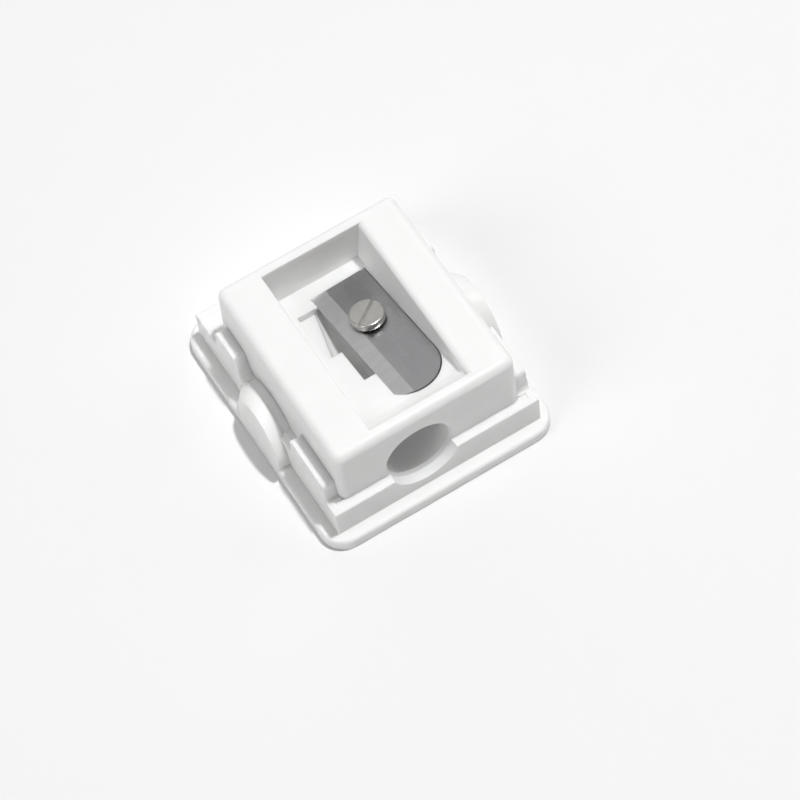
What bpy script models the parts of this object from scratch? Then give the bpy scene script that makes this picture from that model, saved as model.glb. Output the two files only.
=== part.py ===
"""Cosmetic pencil sharpener: a moulded base frame, a sharpening block, a blade and its screw.

Metres, +Z up. The origin is the centre of the base plate's underside, the pencil enters
along +Y from the front, and the right hand side is +X.
"""

import math

import bmesh
import bpy
from mathutils import Matrix, Vector

# Running gap left between two pieces that touch on the real object
GAP = 0.0003
# How far a cutter runs past the face that it cuts
REACH = 0.002
# How deep a feature is sunk into the solid that it is fused to
ROOT = 0.0004

# Base plate
PLATE_WIDTH = 0.0297
PLATE_LENGTH = 0.0342
PLATE_THICK = 0.0017
PLATE_CORNER = 0.003
PLATE_EDGE = 0.0004

# Frame wall that stands on the plate
WALL_INSET = 0.0016
WALL_THICK = 0.0009
WALL_HEIGHT = 0.0043
WALL_CORNER = 0.00025

# Snap tabs on the two long walls
TAB_HEIGHT = 0.003
TAB_LEAN = 0.00035
FRONT_TAB_START = 0.0024
FRONT_TAB_LENGTH = 0.0071
BACK_TAB_START = 0.0219
BACK_TAB_LENGTH = 0.0041
BACK_TAB_RAMP = 0.0019
TAB_END_SLOPE = 0.0003

# Half-moon finger grips, level with the plate's edge
GRIP_RADIUS = 0.0046
GRIP_CENTRE_Y = 0.0148
GRIP_CENTRE_Z = 0.0016
GRIP_DEPTH = 0.0019
GRIP_EDGE = 0.0003

# Sharpening block
BODY_SIDE_GAP = 0.0006
BODY_TOP = 0.01445
BODY_DRAFT = 0.0002
BODY_CORNER = 0.0011
BODY_EDGE = 0.001
FOOT_HEIGHT = 0.002
FOOT_LENGTH = 0.0019

# Pencil bore and its cone
BORE_RADIUS = 0.004
BORE_X = -0.0015
BORE_Z = 0.0074
BORE_GUIDE = 0.0066
BORE_CHAMFER = 0.0003
CONE_ANGLE = math.radians(12.4)
CONE_TIP_RADIUS = 0.0005
NOTCH_CLEARANCE = 0.00025

# Blade
BLADE_RADIUS = 0.004
BLADE_EDGE_SIDE = 0.00305
BLADE_BACK_ROOM = 0.0021
BLADE_THICK = 0.0005
BLADE_YAW = math.radians(1.8)
BLADE_CORNER = 0.0006
BLADE_EDGE_OFFSET = 0.00025
BLADE_TIP_BACK = 0.0013
CUT_DEPTH = 0.0001
GRIND_WIDTH = 0.0019
GRIND_EDGE_THICK = 0.00008

# Blade screw
SCREW_HEAD_RADIUS = 0.0021
SCREW_HEAD_HEIGHT = 0.0008
SCREW_SHANK_RADIUS = 0.001
SCREW_LENGTH = 0.0042
SCREW_SLOT = 0.0005
SCREW_FROM_TIP = 0.0125
SCREW_SIDE = 0.0004

# Sloping recess in the top of the block
RECESS_HALF = 0.0063
RECESS_FRONT = 0.003
RECESS_SLOPE_RUN = 0.0017
RECESS_BACK_WALL = 0.00175
RECESS_TWIST = 0.07

# Shavings window beside the cutting edge, each step's start and its width
WINDOW_STEPS = ((0.0064, 0.0002), (0.0098, 0.0016), (0.0148, 0.0036))
WINDOW_BACK_ROOM = 0.00355
CHUTE_LEAN = 0.0016

FRONT = -PLATE_LENGTH / 2
FRAME_FRONT = FRONT + WALL_INSET
FRAME_HALF_WIDTH = PLATE_WIDTH / 2 - WALL_INSET
FRAME_LENGTH = PLATE_LENGTH - 2 * WALL_INSET
WALL_TOP = PLATE_THICK + WALL_HEIGHT
BODY_FRONT = FRAME_FRONT + WALL_THICK + GAP
BODY_BASE = PLATE_THICK + GAP
BODY_HALF_WIDTH = FRAME_HALF_WIDTH - WALL_THICK - BODY_SIDE_GAP
FOOT_BACK = FRAME_FRONT + FRAME_LENGTH - WALL_THICK - GAP
BODY_BACK = FOOT_BACK - FOOT_LENGTH
CONE_START = BODY_FRONT + BORE_GUIDE
CONE_LENGTH = (BORE_RADIUS - CONE_TIP_RADIUS) / math.tan(CONE_ANGLE)
RECESS_BACK = BODY_BACK - RECESS_BACK_WALL
BLADE_TIP_Y = CONE_START + BLADE_TIP_BACK
BLADE_STRAIGHT = (RECESS_BACK - BLADE_BACK_ROOM - BLADE_TIP_Y) / math.cos(CONE_ANGLE)

PLASTIC_COLOUR = (0.87, 0.87, 0.86, 1.0)
STEEL_COLOUR = (0.42, 0.42, 0.43, 1.0)
SCREW_COLOUR = (0.55, 0.55, 0.56, 1.0)
ROUND_SEGMENTS = 40


def clear_scene():
    """Remove every object, so that the script starts from nothing."""
    for item in list(bpy.data.objects):
        bpy.data.objects.remove(item, do_unlink=True)


def new_collection(name):
    """Make a collection in the scene and return it."""
    collection = bpy.data.collections.new(name)
    bpy.context.scene.collection.children.link(collection)
    return collection


def make_material(name, colour, roughness, metallic):
    """Return a Principled material with a plain colour."""
    material = bpy.data.materials.new(name)
    material.use_nodes = True
    shader = material.node_tree.nodes["Principled BSDF"]
    shader.inputs["Base Color"].default_value = colour
    shader.inputs["Roughness"].default_value = roughness
    shader.inputs["Metallic"].default_value = metallic
    material.diffuse_color = colour
    return material


def add_object(name, mesh, collection, parent=None):
    """Link a mesh as a named object, under a parent if one is given."""
    item = bpy.data.objects.new(name, mesh)
    collection.objects.link(item)
    item.parent = parent
    return item


def hide_guide(item):
    """Mark an object as a guide that only shapes other pieces."""
    item.hide_render = True
    item.display_type = "WIRE"
    return item


def box_mesh(name, low, high, top_inset=0.0):
    """Return a box between two corners, its top drawn in by a draft."""
    mesh = bpy.data.meshes.new(name)
    bm = bmesh.new()
    bmesh.ops.create_cube(bm, size=1.0)
    size = Vector(high) - Vector(low)
    middle = (Vector(high) + Vector(low)) / 2
    for vert in bm.verts:
        shrink = top_inset if vert.co.z > 0 else 0.0
        vert.co.x = math.copysign(size.x / 2 - shrink, vert.co.x)
        vert.co.y = math.copysign(size.y / 2 - shrink, vert.co.y)
        vert.co.z = math.copysign(size.z / 2, vert.co.z)
    bmesh.ops.translate(bm, verts=bm.verts, vec=middle)
    bm.to_mesh(mesh)
    bm.free()
    return mesh


def round_edges(mesh, test, radius, segments):
    """Bevel the edges whose two ends pass a test."""
    bm = bmesh.new()
    bm.from_mesh(mesh)
    edges = [edge for edge in bm.edges if test(edge.verts[0].co, edge.verts[1].co)]
    bmesh.ops.bevel(bm, geom=edges, offset=radius, segments=segments, profile=0.5, affect="EDGES")
    bm.to_mesh(mesh)
    bm.free()


def upright(a, b):
    """Say whether an edge stands up, or leans by a small draft."""
    return abs(a.z - b.z) > 2 * math.hypot(a.x - b.x, a.y - b.y)


def at_height(height):
    """Return a test for edges that lie at one height."""
    return lambda a, b: abs(a.z - height) < 1e-6 and abs(b.z - height) < 1e-6


def prism_mesh(name, outline, low, high, edge=0.0):
    """Return a flat outline in local X and Y, standing from low to high in local Z."""
    curve = bpy.data.curves.new(name, "CURVE")
    curve.dimensions = "2D"
    curve.fill_mode = "BOTH"
    curve.extrude = (high - low) / 2 - edge
    curve.bevel_depth = edge
    curve.bevel_resolution = 1
    curve.offset = -edge
    spline = curve.splines.new("POLY")
    spline.points.add(len(outline) - 1)
    for point, (x, y) in zip(spline.points, outline):
        point.co = (x, y, 0.0, 1.0)
    spline.use_cyclic_u = True
    source = bpy.data.objects.new(name, curve)
    bpy.context.scene.collection.objects.link(source)
    graph = bpy.context.evaluated_depsgraph_get()
    mesh = bpy.data.meshes.new_from_object(source.evaluated_get(graph))
    bpy.data.objects.remove(source, do_unlink=True)
    bpy.data.curves.remove(curve)
    bm = bmesh.new()
    bm.from_mesh(mesh)
    bmesh.ops.remove_doubles(bm, verts=bm.verts, dist=1e-6)
    bmesh.ops.recalc_face_normals(bm, faces=bm.faces)
    bmesh.ops.translate(bm, verts=bm.verts, vec=(0, 0, (low + high) / 2))
    bm.to_mesh(mesh)
    bm.free()
    return mesh


def facing_x(mesh, flip=False):
    """Turn a prism so that its outline lies in Y and Z and its height runs along X."""
    turn = Matrix(((0, 0, 1, 0), (1, 0, 0, 0), (0, 1, 0, 0), (0, 0, 0, 1)))
    mesh.transform(turn)
    if flip:
        mesh.transform(Matrix.Scale(-1, 4, (1, 0, 0)))
        mesh.flip_normals()
    return mesh


def turned_object(name, profile, collection, segments=ROUND_SEGMENTS, parent=None):
    """Return an object turned about its own Z from (radius, height) points, top to bottom."""
    mesh = bpy.data.meshes.new(name)
    edges = [(i, i + 1) for i in range(len(profile) - 1)]
    mesh.from_pydata([(radius, 0, height) for radius, height in profile], edges, [])
    item = add_object(name, mesh, collection, parent)
    turn = item.modifiers.new("turn", "SCREW")
    turn.steps = segments
    turn.render_steps = segments
    turn.use_merge_vertices = True
    turn.merge_threshold = 0.000001
    return item


def arc_points(centre, radius, start, end, count):
    """Return points along an arc, angles in degrees."""
    points = []
    for i in range(count + 1):
        angle = math.radians(start + (end - start) * i / count)
        points.append((centre[0] + radius * math.cos(angle), centre[1] + radius * math.sin(angle)))
    return points


def combine(item, other, operation):
    """Cut or join one object with another."""
    step = item.modifiers.new(other.name, "BOOLEAN")
    step.operation = operation
    step.solver = "EXACT"
    step.object = other


def shade(item, angle=30.0):
    """Shade a round piece smooth, with its sharp edges kept."""
    item.data.shade_smooth()
    item.data.set_sharp_from_angle(angle=math.radians(angle))


def tab_outline(start, length, front_slope, back_slope):
    """Return a snap tab's side outline in Y and Z, from the wall's top."""
    low = WALL_TOP - ROOT
    top = WALL_TOP + TAB_HEIGHT
    return [
        (start - front_slope, low),
        (start + length + back_slope, low),
        (start + length + back_slope, WALL_TOP),
        (start + length, top),
        (start, top),
        (start - front_slope, WALL_TOP),
    ]


def tab_mesh(name, outline, side):
    """Return a snap tab that rises from one long wall, its outer face leaning in."""
    inner = FRAME_HALF_WIDTH - WALL_THICK
    mesh = facing_x(prism_mesh(name, outline, inner, FRAME_HALF_WIDTH), flip=side < 0)
    for vert in mesh.vertices:
        if abs(vert.co.x) > FRAME_HALF_WIDTH - 1e-6 and vert.co.z > WALL_TOP + 1e-6:
            vert.co.x -= side * TAB_LEAN
    return mesh


def grip_mesh(name, side):
    """Return a half-moon grip, an upright arch drawn inwards from the plate's edge."""
    centre = (FRAME_FRONT + GRIP_CENTRE_Y, PLATE_THICK + GRIP_CENTRE_Z)
    outline = [(centre[0] - GRIP_RADIUS, PLATE_THICK - ROOT), (centre[0] + GRIP_RADIUS, PLATE_THICK - ROOT)]
    outline += arc_points(centre, GRIP_RADIUS, 0.0, 180.0, 20)
    outer = PLATE_WIDTH / 2
    return facing_x(prism_mesh(name, outline, outer - GRIP_DEPTH, outer, GRIP_EDGE), flip=side < 0)


def build_base_frame(parts, guides, material):
    """Build the plate, its upright frame wall, the snap tabs and the grips as one moulding."""
    half = PLATE_WIDTH / 2
    plate = box_mesh("base_frame", (-half, FRONT, 0), (half, -FRONT, PLATE_THICK))
    round_edges(plate, upright, PLATE_CORNER, 6)
    round_edges(plate, at_height(PLATE_THICK), PLATE_EDGE, 2)
    frame = add_object("base_frame", plate, parts)
    frame.data.materials.append(material)

    half = FRAME_HALF_WIDTH
    low = (-half, FRAME_FRONT, PLATE_THICK - ROOT)
    high = (half, FRAME_FRONT + FRAME_LENGTH, WALL_TOP)
    wall = box_mesh("frame_wall", low, high)
    round_edges(wall, upright, WALL_CORNER, 1)
    wall = hide_guide(add_object("frame_wall", wall, guides))
    inner_low = (low[0] + WALL_THICK, low[1] + WALL_THICK, PLATE_THICK)
    inner_high = (high[0] - WALL_THICK, high[1] - WALL_THICK, WALL_TOP + REACH)
    inside = hide_guide(add_object("frame_inside", box_mesh("frame_inside", inner_low, inner_high), guides))
    combine(frame, wall, "UNION")
    combine(frame, inside, "DIFFERENCE")

    front_tab = tab_outline(FRAME_FRONT + FRONT_TAB_START, FRONT_TAB_LENGTH, TAB_END_SLOPE, TAB_END_SLOPE)
    back_tab = tab_outline(FRAME_FRONT + BACK_TAB_START, BACK_TAB_LENGTH, BACK_TAB_RAMP, TAB_END_SLOPE)
    for side, label in ((-1, "left"), (1, "right")):
        for place, outline in (("front", front_tab), ("back", back_tab)):
            name = f"{label}_{place}_tab"
            tab = hide_guide(add_object(name, tab_mesh(name, outline, side), guides))
            combine(frame, tab, "UNION")
        name = f"{label}_grip"
        grip = hide_guide(add_object(name, grip_mesh(name, side), guides))
        combine(frame, grip, "UNION")

    radius = BORE_RADIUS + NOTCH_CLEARANCE
    notch_length = WALL_INSET + WALL_THICK + 2 * REACH
    profile = [(0, notch_length), (radius, notch_length), (radius, 0), (0, 0)]
    notch = hide_guide(turned_object("pencil_notch", profile, guides))
    notch.rotation_euler = (math.radians(-90), 0, 0)
    notch.location = (BORE_X, FRONT - REACH, BORE_Z)
    combine(frame, notch, "DIFFERENCE")
    return frame


def blade_datum(guides):
    """Return an empty on the cutting edge's line, turned to the blade's pitch and yaw.

    Its origin is the centre of the blade's round end on the blade's underside, its Y runs
    back along the blade and its X points right, away from the cutting edge.
    """
    datum = bpy.data.objects.new("blade_datum", None)
    guides.objects.link(datum)
    edge_x = BORE_X + BLADE_EDGE_OFFSET
    height = BORE_Z + BORE_RADIUS - CUT_DEPTH - math.tan(CONE_ANGLE) * BLADE_TIP_BACK
    datum.location = (edge_x + BLADE_EDGE_SIDE, BLADE_TIP_Y, height)
    datum.rotation_euler = (-CONE_ANGLE, 0, BLADE_YAW)
    return datum


def blade_outline(extra=0.0):
    """Return the blade's outline, a round front and a square back, grown by a clearance."""
    radius = BLADE_RADIUS + extra
    edge = -BLADE_EDGE_SIDE - extra
    back = BLADE_STRAIGHT + extra
    start = math.degrees(math.acos(edge / radius))
    corner = BLADE_CORNER
    points = arc_points((0, 0), radius, -start, 0.0, 18)
    points += arc_points((radius - corner, back - corner), corner, 0, 90, 3)
    points += arc_points((edge + corner, back - corner), corner, 90, 180, 3)
    return points


def build_blade(parts, guides, datum, material):
    """Build the blade with its ground cutting edge and its screw hole."""
    blade = add_object("blade", prism_mesh("blade", blade_outline(), 0, BLADE_THICK), parts, datum)
    blade.data.materials.append(material)

    hole_radius = SCREW_SHANK_RADIUS + GAP
    profile = [(0, REACH), (hole_radius, REACH), (hole_radius, -REACH), (0, -REACH)]
    hole = hide_guide(turned_object("blade_hole", profile, guides, parent=datum))
    hole.location = (SCREW_SIDE, SCREW_FROM_TIP - BLADE_RADIUS, 0)
    combine(blade, hole, "DIFFERENCE")

    edge = -BLADE_EDGE_SIDE
    rise = (BLADE_THICK - GRIND_EDGE_THICK) / GRIND_WIDTH
    outline = [
        (edge - REACH, GRIND_EDGE_THICK - rise * REACH),
        (edge + GRIND_WIDTH + REACH, BLADE_THICK + rise * REACH),
        (edge - REACH, BLADE_THICK + rise * REACH),
    ]
    grind = prism_mesh("blade_grind", outline, -2 * BLADE_STRAIGHT, 2 * BLADE_STRAIGHT)
    grind.transform(Matrix.Rotation(math.radians(90), 4, "X"))
    grind = hide_guide(add_object("blade_grind", grind, guides, datum))
    combine(blade, grind, "DIFFERENCE")
    return blade


def build_screw(parts, guides, datum, material):
    """Build the slotted screw that holds the blade down."""
    seat = BLADE_THICK + GAP
    head = seat + SCREW_HEAD_HEIGHT
    dome = 0.35 * SCREW_HEAD_HEIGHT
    profile = [(0, head)]
    profile += [(SCREW_HEAD_RADIUS * 0.8, head - 0.15 * dome), (SCREW_HEAD_RADIUS, head - dome)]
    profile += [(SCREW_HEAD_RADIUS, seat), (SCREW_SHANK_RADIUS, seat)]
    profile += [(SCREW_SHANK_RADIUS, seat - SCREW_LENGTH + SCREW_SHANK_RADIUS), (0, seat - SCREW_LENGTH)]
    screw = turned_object("blade_screw", profile, parts, 28, datum)
    screw.location = (SCREW_SIDE, SCREW_FROM_TIP - BLADE_RADIUS, 0)
    screw.data.materials.append(material)

    reach = SCREW_HEAD_RADIUS + REACH
    low = (-reach, -SCREW_SLOT / 2, head - SCREW_HEAD_HEIGHT / 2)
    high = (reach, SCREW_SLOT / 2, head + REACH)
    slot = hide_guide(add_object("screw_slot", box_mesh("screw_slot", low, high), guides, screw))
    slot.rotation_euler = (0, 0, math.radians(35))
    combine(screw, slot, "DIFFERENCE")
    return screw


def blade_top_height(y):
    """Return the height of the blade's top face at a place along Y."""
    rise = (BLADE_THICK - CUT_DEPTH) / math.cos(CONE_ANGLE)
    return BORE_Z + BORE_RADIUS + rise - math.tan(CONE_ANGLE) * (y - CONE_START)


def recess_mesh():
    """Return the cutter of the sloping recess, its right wall leaning more towards the back."""
    front = FRAME_FRONT + RECESS_FRONT
    toe = front + RECESS_SLOPE_RUN
    back = RECESS_BACK
    slope = (BODY_TOP - blade_top_height(toe)) / RECESS_SLOPE_RUN
    above = BODY_TOP + REACH
    outline = [
        (front - REACH / slope, above),
        (toe, blade_top_height(toe)),
        (back, blade_top_height(back)),
        (back, above),
    ]
    mesh = facing_x(prism_mesh("recess", outline, -RECESS_HALF, RECESS_HALF))
    floor_right = [v for v in mesh.vertices if v.co.x > 0 and v.co.z < BODY_TOP and v.co.y > toe + 1e-6]
    for vert in floor_right:
        vert.co.x -= RECESS_TWIST * (vert.co.y - toe)
    return mesh


def window_mesh():
    """Return the stepped shavings window, cut down to the bore's axis beside the edge."""
    edge_x = BORE_X + BLADE_EDGE_OFFSET
    back = RECESS_BACK - WINDOW_BACK_ROOM
    outline = [(edge_x + GAP, back)]
    last_width = -GAP
    for start, width in WINDOW_STEPS:
        outline += [(edge_x - last_width, FRAME_FRONT + start), (edge_x - width, FRAME_FRONT + start)]
        last_width = width
    outline.append((edge_x - last_width, back))
    mesh = prism_mesh("window", outline, BORE_Z, BODY_TOP)
    for vert in mesh.vertices:
        if vert.co.x < edge_x - last_width + GAP and vert.co.z < BORE_Z + GAP:
            vert.co.x += CHUTE_LEAN
    return mesh


def build_body(parts, guides, datum, material):
    """Build the sharpening block with its bore, cone, recess, blade seat and window."""
    half = BODY_HALF_WIDTH
    low = (-half, BODY_FRONT, BODY_BASE)
    block = box_mesh("sharpener_body", low, (half, BODY_BACK, BODY_TOP), BODY_DRAFT)
    round_edges(block, upright, BODY_CORNER, 4)
    round_edges(block, at_height(BODY_TOP), BODY_EDGE, 3)
    body = add_object("sharpener_body", block, parts)
    body.data.materials.append(material)

    foot_half = half - BODY_CORNER
    low = (-foot_half, BODY_BACK - REACH, BODY_BASE)
    foot = box_mesh("body_foot", low, (foot_half, FOOT_BACK, BODY_BASE + FOOT_HEIGHT))
    foot = hide_guide(add_object("body_foot", foot, guides))
    combine(body, foot, "UNION")

    guide_end = CONE_START - BODY_FRONT
    profile = [
        (0, guide_end + CONE_LENGTH),
        (CONE_TIP_RADIUS, guide_end + CONE_LENGTH),
        (BORE_RADIUS, guide_end),
        (BORE_RADIUS, BORE_CHAMFER),
        (BORE_RADIUS + BORE_CHAMFER + REACH, -REACH),
        (0, -REACH),
    ]
    bore = hide_guide(turned_object("pencil_bore", profile, guides))
    bore.rotation_euler = (math.radians(-90), 0, 0)
    bore.location = (BORE_X, BODY_FRONT + BODY_DRAFT / 2, BORE_Z)
    combine(body, bore, "DIFFERENCE")

    recess = hide_guide(add_object("recess", recess_mesh(), guides))
    combine(body, recess, "DIFFERENCE")

    window = hide_guide(add_object("window", window_mesh(), guides))
    combine(body, window, "DIFFERENCE")

    pocket = prism_mesh("blade_pocket", blade_outline(GAP), -GAP, BODY_TOP - BORE_Z + REACH)
    pocket = hide_guide(add_object("blade_pocket", pocket, guides, datum))
    combine(body, pocket, "DIFFERENCE")

    hole_radius = SCREW_SHANK_RADIUS + GAP
    depth = SCREW_LENGTH - BLADE_THICK
    profile = [(0, REACH), (hole_radius, REACH), (hole_radius, -depth), (0, -depth - hole_radius / 2)]
    pilot = hide_guide(turned_object("screw_pilot", profile, guides, 28, datum))
    pilot.location = (SCREW_SIDE, SCREW_FROM_TIP - BLADE_RADIUS, 0)
    combine(body, pilot, "DIFFERENCE")

    return body


def main():
    """Build the whole sharpener."""
    clear_scene()
    parts = new_collection("cosmetic_pencil_sharpener")
    guides = new_collection("cutters")
    plastic = make_material("white_plastic", PLASTIC_COLOUR, 0.42, 0.0)
    block_plastic = make_material("block_plastic", PLASTIC_COLOUR, 0.4, 0.0)
    steel = make_material("blade_steel", STEEL_COLOUR, 0.28, 1.0)
    screw_steel = make_material("screw_steel", SCREW_COLOUR, 0.35, 1.0)
    datum = blade_datum(guides)
    frame = build_base_frame(parts, guides, plastic)
    body = build_body(parts, guides, datum, block_plastic)
    blade = build_blade(parts, guides, datum, steel)
    screw = build_screw(parts, guides, datum, screw_steel)
    for item in (frame, body, blade, screw):
        shade(item)


main()
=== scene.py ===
"""Looks of a cosmetic pencil sharpener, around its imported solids.

Every length is in metres, in the part's own frame: +Z up, +Y the way into the bore.
The white base frame, the sharpening block, the blade and the blade screw are modelled
again here with their drafts, roundings and finer forms, and each stands for its solid.
"""

import logging
import math
from collections.abc import Callable, Iterator
from contextlib import contextmanager
from dataclasses import dataclass
from enum import Enum

import bmesh
import bpy
from mathutils import Matrix, Vector

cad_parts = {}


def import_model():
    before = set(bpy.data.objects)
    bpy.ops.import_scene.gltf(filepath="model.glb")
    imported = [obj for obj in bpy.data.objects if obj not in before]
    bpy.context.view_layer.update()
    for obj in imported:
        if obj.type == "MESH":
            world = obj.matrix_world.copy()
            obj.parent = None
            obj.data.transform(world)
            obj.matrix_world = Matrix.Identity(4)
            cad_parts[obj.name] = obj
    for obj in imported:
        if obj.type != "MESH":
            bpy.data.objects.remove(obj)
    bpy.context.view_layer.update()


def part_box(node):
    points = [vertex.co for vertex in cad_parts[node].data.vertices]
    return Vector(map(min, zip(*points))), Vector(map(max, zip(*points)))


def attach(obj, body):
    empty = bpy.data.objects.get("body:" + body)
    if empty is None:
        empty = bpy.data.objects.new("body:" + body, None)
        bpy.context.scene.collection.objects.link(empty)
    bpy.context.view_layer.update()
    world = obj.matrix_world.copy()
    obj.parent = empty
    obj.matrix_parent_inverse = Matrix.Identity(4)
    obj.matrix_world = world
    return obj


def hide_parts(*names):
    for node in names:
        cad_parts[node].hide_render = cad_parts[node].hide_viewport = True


LOG = logging.getLogger("sharpener")
# What counts as touching, the finest cut, and how far a cutter reaches past what it cuts.
TOUCH = 0.00002
HAIR = TOUCH / 20
OVERSHOOT = 0.002
# The least part of a face's normal along an axis for the face to count as facing that way.
FACING = 0.9
# The angles below which facets are shaded smooth or merged, and above which metal is softened.
SMOOTH_ANGLE = math.radians(34)
FLAT_ANGLE = math.radians(0.4)
SHARP_ANGLE = math.radians(40)
# How many sides a round cutter and the blade's round end are made of.
ROD_SIDES = 96
BLADE_SIDES = 192
# How far the blade, and so its grinding lines, turns about Z.
BLADE_YAW = math.radians(1.8)
# How far red, green and blue light travel inside the white plastic, against its scatter depth.
SCATTER_COLOURS = (1.0, 0.97, 0.92)

Piece = bpy.types.Object
Colour = tuple[float, float, float, float]
EdgeTest = Callable[[Vector, Vector], bool]
FaceTest = Callable[[Vector, Vector], bool]


class Side(Enum):
    """The two long sides of the sharpener."""

    LEFT = -1
    RIGHT = 1


class Axis(Enum):
    """The axis that a cylinder runs along, as the turn that a new one takes to it."""

    X = (0, math.pi / 2, 0)
    Y = (math.pi / 2, 0, 0)
    Z = (0, 0, 0)


class Action(Enum):
    """What one solid does to another."""

    JOIN = "UNION"
    CUT = "DIFFERENCE"


class Slot(Enum):
    """The record's material slots."""

    FRAME = "white_plastic"
    BLOCK = "block_plastic"
    BLADE = "blade_steel"
    SCREW = "screw_steel"


@dataclass(frozen=True)
class Rounding:
    """A rounded edge: its radius, and how many facets it has."""

    radius: float
    steps: int


@dataclass(frozen=True)
class SnapTab:
    """A snap tab: where its top starts behind the wall's front, and its other measures.

    Its front end slopes forward by the ramp, down to a hollow of the fillet's radius.
    """

    name: str
    start: float
    length: float
    ramp: float
    fillet: float


def grey(level: float) -> Colour:
    """Return an opaque neutral colour."""
    return (level, level, level, 1.0)


def activate(piece: Piece) -> None:
    """Make one object the only selected one, and the active one.

    Args:
        piece: The object.
    """
    bpy.ops.object.select_all(action="DESELECT")
    piece.select_set(True)
    bpy.context.view_layer.objects.active = piece


@contextmanager
def editing(piece: Piece) -> Iterator[bmesh.types.BMesh]:
    """Open an object in edit mode with nothing selected.

    Args:
        piece: The mesh object to edit.

    Yields:
        The edit mesh, whose vertices can be moved.
    """
    activate(piece)
    bpy.ops.object.mode_set(mode="EDIT")
    bpy.ops.mesh.select_all(action="DESELECT")
    yield bmesh.from_edit_mesh(piece.data)
    bmesh.update_edit_mesh(piece.data)
    bpy.ops.object.mode_set(mode="OBJECT")


def pick_faces(piece: Piece, test: FaceTest) -> None:
    """Select the faces whose centre and normal pass a test.

    Args:
        piece: The object in edit mode.
        test: Takes a face's centre and normal.
    """
    bpy.ops.mesh.select_mode(type="FACE")
    for face in bmesh.from_edit_mesh(piece.data).faces:
        face.select_set(test(face.calc_center_median(), face.normal))
    bmesh.update_edit_mesh(piece.data)


def pick_edges(piece: Piece, test: EdgeTest) -> None:
    """Select the edges whose two ends pass a test.

    Args:
        piece: The object in edit mode.
        test: Takes the edge's two ends.
    """
    bpy.ops.mesh.select_mode(type="EDGE")
    for edge in bmesh.from_edit_mesh(piece.data).edges:
        edge.select_set(test(edge.verts[0].co, edge.verts[1].co))
    bmesh.update_edit_mesh(piece.data)


def extrude(*move: float) -> None:
    """Extrude the selected faces by a move along X, Y and Z."""
    bpy.ops.mesh.extrude_region_move(TRANSFORM_OT_translate={"value": move})


def score(point: tuple[float, float, float], normal: tuple[float, float, float]) -> None:
    """Cut edges all round the object in edit mode, where a plane crosses it.

    Args:
        point: A point on the plane.
        normal: The plane's normal.
    """
    bpy.ops.mesh.select_all(action="SELECT")
    bpy.ops.mesh.bisect(plane_co=point, plane_no=normal, threshold=HAIR)


def round_edges(piece: Piece, test: EdgeTest, rounding: Rounding) -> None:
    """Round the edges that pass a test.

    Args:
        piece: The object to shape.
        test: Takes an edge's two ends.
        rounding: The radius and the number of facets.
    """
    with editing(piece):
        pick_edges(piece, test)
        bpy.ops.mesh.bevel(
            offset=rounding.radius, segments=rounding.steps, affect="EDGES", clamp_overlap=True
        )


def settle(piece: Piece) -> Piece:
    """Put an object's place, turn and scale into its mesh.

    Args:
        piece: The object to settle.

    Returns:
        The same object.
    """
    activate(piece)
    bpy.ops.object.transform_apply(location=True, rotation=True, scale=True)
    return piece


def block(name: str, low: Vector, high: Vector) -> Piece:
    """Add a block between two corners.

    Args:
        name: The new object's name.
        low: Its lowest corner.
        high: Its highest corner.

    Returns:
        The block, settled in its mesh.
    """
    bpy.ops.mesh.primitive_cube_add(size=1.0, location=(low + high) / 2)
    piece = bpy.context.object
    piece.name = name
    piece.scale = high - low
    return settle(piece)


def drum(name: str, radius: float, depth: float, centre: Vector, along: Axis, sides: int) -> Piece:
    """Add a cylinder along one axis.

    Args:
        name: The new object's name.
        radius: Its radius.
        depth: Its length.
        centre: Its middle.
        along: The axis that it runs along.
        sides: How many sides it has.

    Returns:
        The cylinder, settled in its mesh.
    """
    bpy.ops.mesh.primitive_cylinder_add(
        vertices=sides, radius=radius, depth=depth, location=centre, rotation=along.value
    )
    piece = bpy.context.object
    piece.name = name
    return settle(piece)


def keep_half(piece: Piece, point: Vector, outward: Vector) -> None:
    """Cut an object with a plane, and close it, keeping what lies behind the plane.

    Args:
        piece: The object to cut.
        point: A point on the plane.
        outward: The way that the removed half lies.
    """
    with editing(piece):
        bpy.ops.mesh.select_all(action="SELECT")
        bpy.ops.mesh.bisect(
            plane_co=point, plane_no=outward, use_fill=True, clear_outer=True, threshold=HAIR
        )


def combine(piece: Piece, other: Piece, action: Action) -> None:
    """Cut or join one object with another, which is then removed.

    Args:
        piece: The object that stays.
        other: The object that cuts or joins it.
        action: Whether it cuts or joins.
    """
    step = piece.modifiers.new("combine", "BOOLEAN")
    step.operation = action.value
    step.solver = "MANIFOLD"
    step.object = other
    activate(piece)
    bpy.ops.object.modifier_apply(modifier=step.name)
    bpy.data.objects.remove(other, do_unlink=True)


def soften(piece: Piece, rounding: Rounding) -> None:
    """Break every sharp edge of a small metal piece.

    Args:
        piece: The object to finish.
        rounding: The radius and the number of facets.
    """
    with editing(piece):
        bpy.ops.mesh.select_all(action="SELECT")
        bpy.ops.mesh.remove_doubles(threshold=2 * HAIR)
        bpy.ops.mesh.dissolve_limited(angle_limit=FLAT_ANGLE)
    step = piece.modifiers.new("soften", "BEVEL")
    step.width = rounding.radius
    step.segments = rounding.steps
    step.limit_method = "ANGLE"
    step.angle_limit = SHARP_ANGLE
    step.miter_outer = "MITER_ARC"
    activate(piece)
    bpy.ops.object.modifier_apply(modifier=step.name)


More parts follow.
